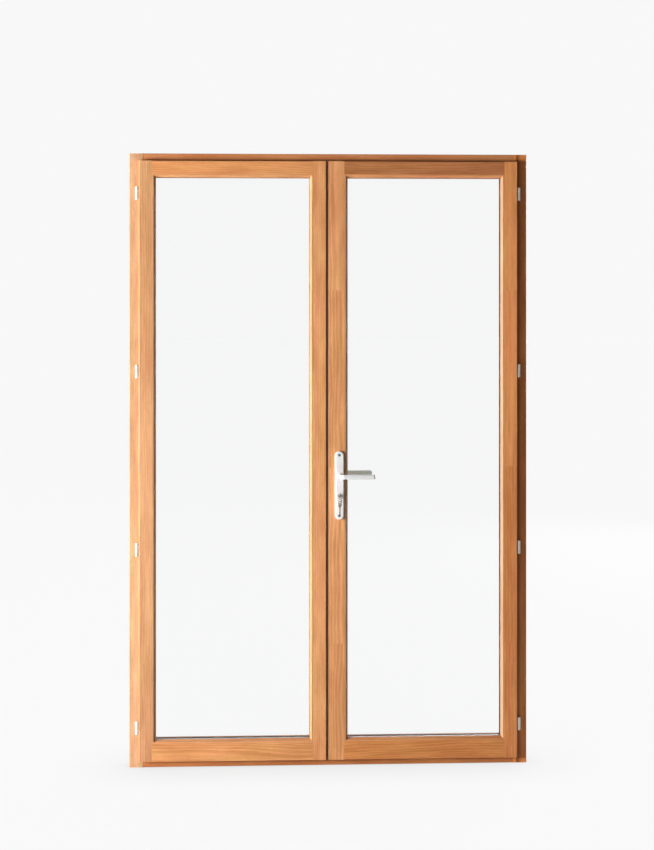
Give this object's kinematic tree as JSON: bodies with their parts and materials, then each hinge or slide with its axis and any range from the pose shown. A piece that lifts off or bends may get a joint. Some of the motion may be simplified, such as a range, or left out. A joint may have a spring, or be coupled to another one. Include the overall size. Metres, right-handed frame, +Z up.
{
  "type": "french doors",
  "caption": "Pair of inward opening glazed timber french doors hung in their frame, with lever handles, a keyed lock, barrel hinges and slide bolts.",
  "frame": {"origin": "middle of the underside of the sill, halfway through the depth of the frame timber", "axes": "+Z up, +X to the right seen from the room, +Y through the doorway to outdoors"},
  "size_m": [1.4, 0.167, 2.15],
  "materials": {
    "timber": "clear satin lacquer over warm orange brown hardwood",
    "bead_timber": "clear satin lacquer",
    "glass": "clear float glass",
    "spacer_metal": "mill finish",
    "seal_rubber": "matt black",
    "hinge_plating": "bright zinc plate",
    "handle_satin": "satin anodised",
    "lock_steel": "brushed",
    "cylinder_nickel": "matt nickel plate",
    "plug_brass": "machined"
  },
  "bodies": {
    "frame": {"jamb_left": "timber", "jamb_right": "timber", "frame_head": "timber", "frame_sill": "timber", "frame_seal": "seal_rubber", "bolt_keeps": "lock_steel", "frame_knuckles_left": "hinge_plating", "frame_knuckles_right": "hinge_plating", "hinge_pins": "hinge_plating"},
    "left_leaf": {"left_hinge_stile": "timber", "left_meeting_stile": "timber", "left_top_rail": "timber", "left_bottom_rail": "timber", "left_upright_beads": "bead_timber", "left_level_beads": "bead_timber", "left_inner_pane": "glass", "left_outer_pane": "glass", "left_spacer": "spacer_metal", "left_glazing_tapes": "seal_rubber", "left_setting_blocks": "seal_rubber", "left_knuckles": "hinge_plating", "meeting_seal": "seal_rubber", "strike_plate": "lock_steel", "bolt_plates": "lock_steel", "left_screws": "lock_steel"},
    "upper_bolt": {"upper_slide_bolt": "lock_steel"},
    "lower_bolt": {"lower_slide_bolt": "lock_steel"},
    "right_leaf": {"right_hinge_stile": "timber", "right_meeting_stile": "timber", "right_top_rail": "timber", "right_bottom_rail": "timber", "right_upright_beads": "bead_timber", "right_level_beads": "bead_timber", "right_inner_pane": "glass", "right_outer_pane": "glass", "right_spacer": "spacer_metal", "right_glazing_tapes": "seal_rubber", "right_setting_blocks": "seal_rubber", "right_knuckles": "hinge_plating", "lock_case": "lock_steel", "lock_cover": "lock_steel", "lock_faceplate": "lock_steel", "right_screws": "lock_steel", "inside_plate": "handle_satin", "outside_plate": "handle_satin", "plate_screws": "lock_steel", "cylinder_body": "cylinder_nickel", "cylinder_screw": "lock_steel", "outer_plug": "plug_brass"},
    "levers": {"inside_lever": "handle_satin", "outside_lever": "handle_satin", "lever_spindle": "lock_steel", "lever_hub": "lock_steel"},
    "latch": {"latch_bolt": "lock_steel"},
    "deadbolt": {"dead_bolt": "lock_steel"},
    "key_and_plug": {"inner_plug": "plug_brass", "cylinder_cam": "lock_steel", "door_key": "lock_steel"}
  },
  "joints": [
    {"name": "right_leaf_hinge", "type": "hinge", "parent": "frame", "child": "right_leaf", "pos_m": [0.672, -0.0395, 0.14], "axis": [0, 0, 1], "range_deg": [0, 100]},
    {"name": "left_leaf_hinge", "type": "hinge", "parent": "frame", "child": "left_leaf", "pos_m": [-0.672, -0.0395, 0.14], "axis": [0, 0, -1], "range_deg": [0, 100]},
    {"name": "lever_turn", "type": "hinge", "parent": "right_leaf", "child": "levers", "pos_m": [0.036, 0, 1.019], "axis": [0, 1, 0], "range_deg": [0, 40], "stiffness_Nm_per_rad": 1.2, "springref_deg": -20.05},
    {"name": "latch_slide", "type": "slide", "parent": "right_leaf", "child": "latch", "axis": [1, 0, 0], "range_m": [0, 0.012]},
    {"name": "key_turn", "type": "hinge", "parent": "right_leaf", "child": "key_and_plug", "pos_m": [0.036, 0, 0.949], "axis": [0, 1, 0], "range_deg": [0, 360]},
    {"name": "deadbolt_slide", "type": "slide", "parent": "right_leaf", "child": "deadbolt", "axis": [-1, 0, 0], "range_m": [0, 0.02]},
    {"name": "upper_bolt_slide", "type": "slide", "parent": "left_leaf", "child": "upper_bolt", "axis": [0, 0, 1], "range_m": [0, 0.014]},
    {"name": "lower_bolt_slide", "type": "slide", "parent": "left_leaf", "child": "lower_bolt", "axis": [0, 0, -1], "range_m": [0, 0.014]}
  ],
  "couplings": [
    {"joint": "latch_slide", "follows": "lever_turn", "m_per_rad": 0.017188},
    {"joint": "key_turn", "follows": "deadbolt_slide", "rad_per_m": 314.16}
  ]
}
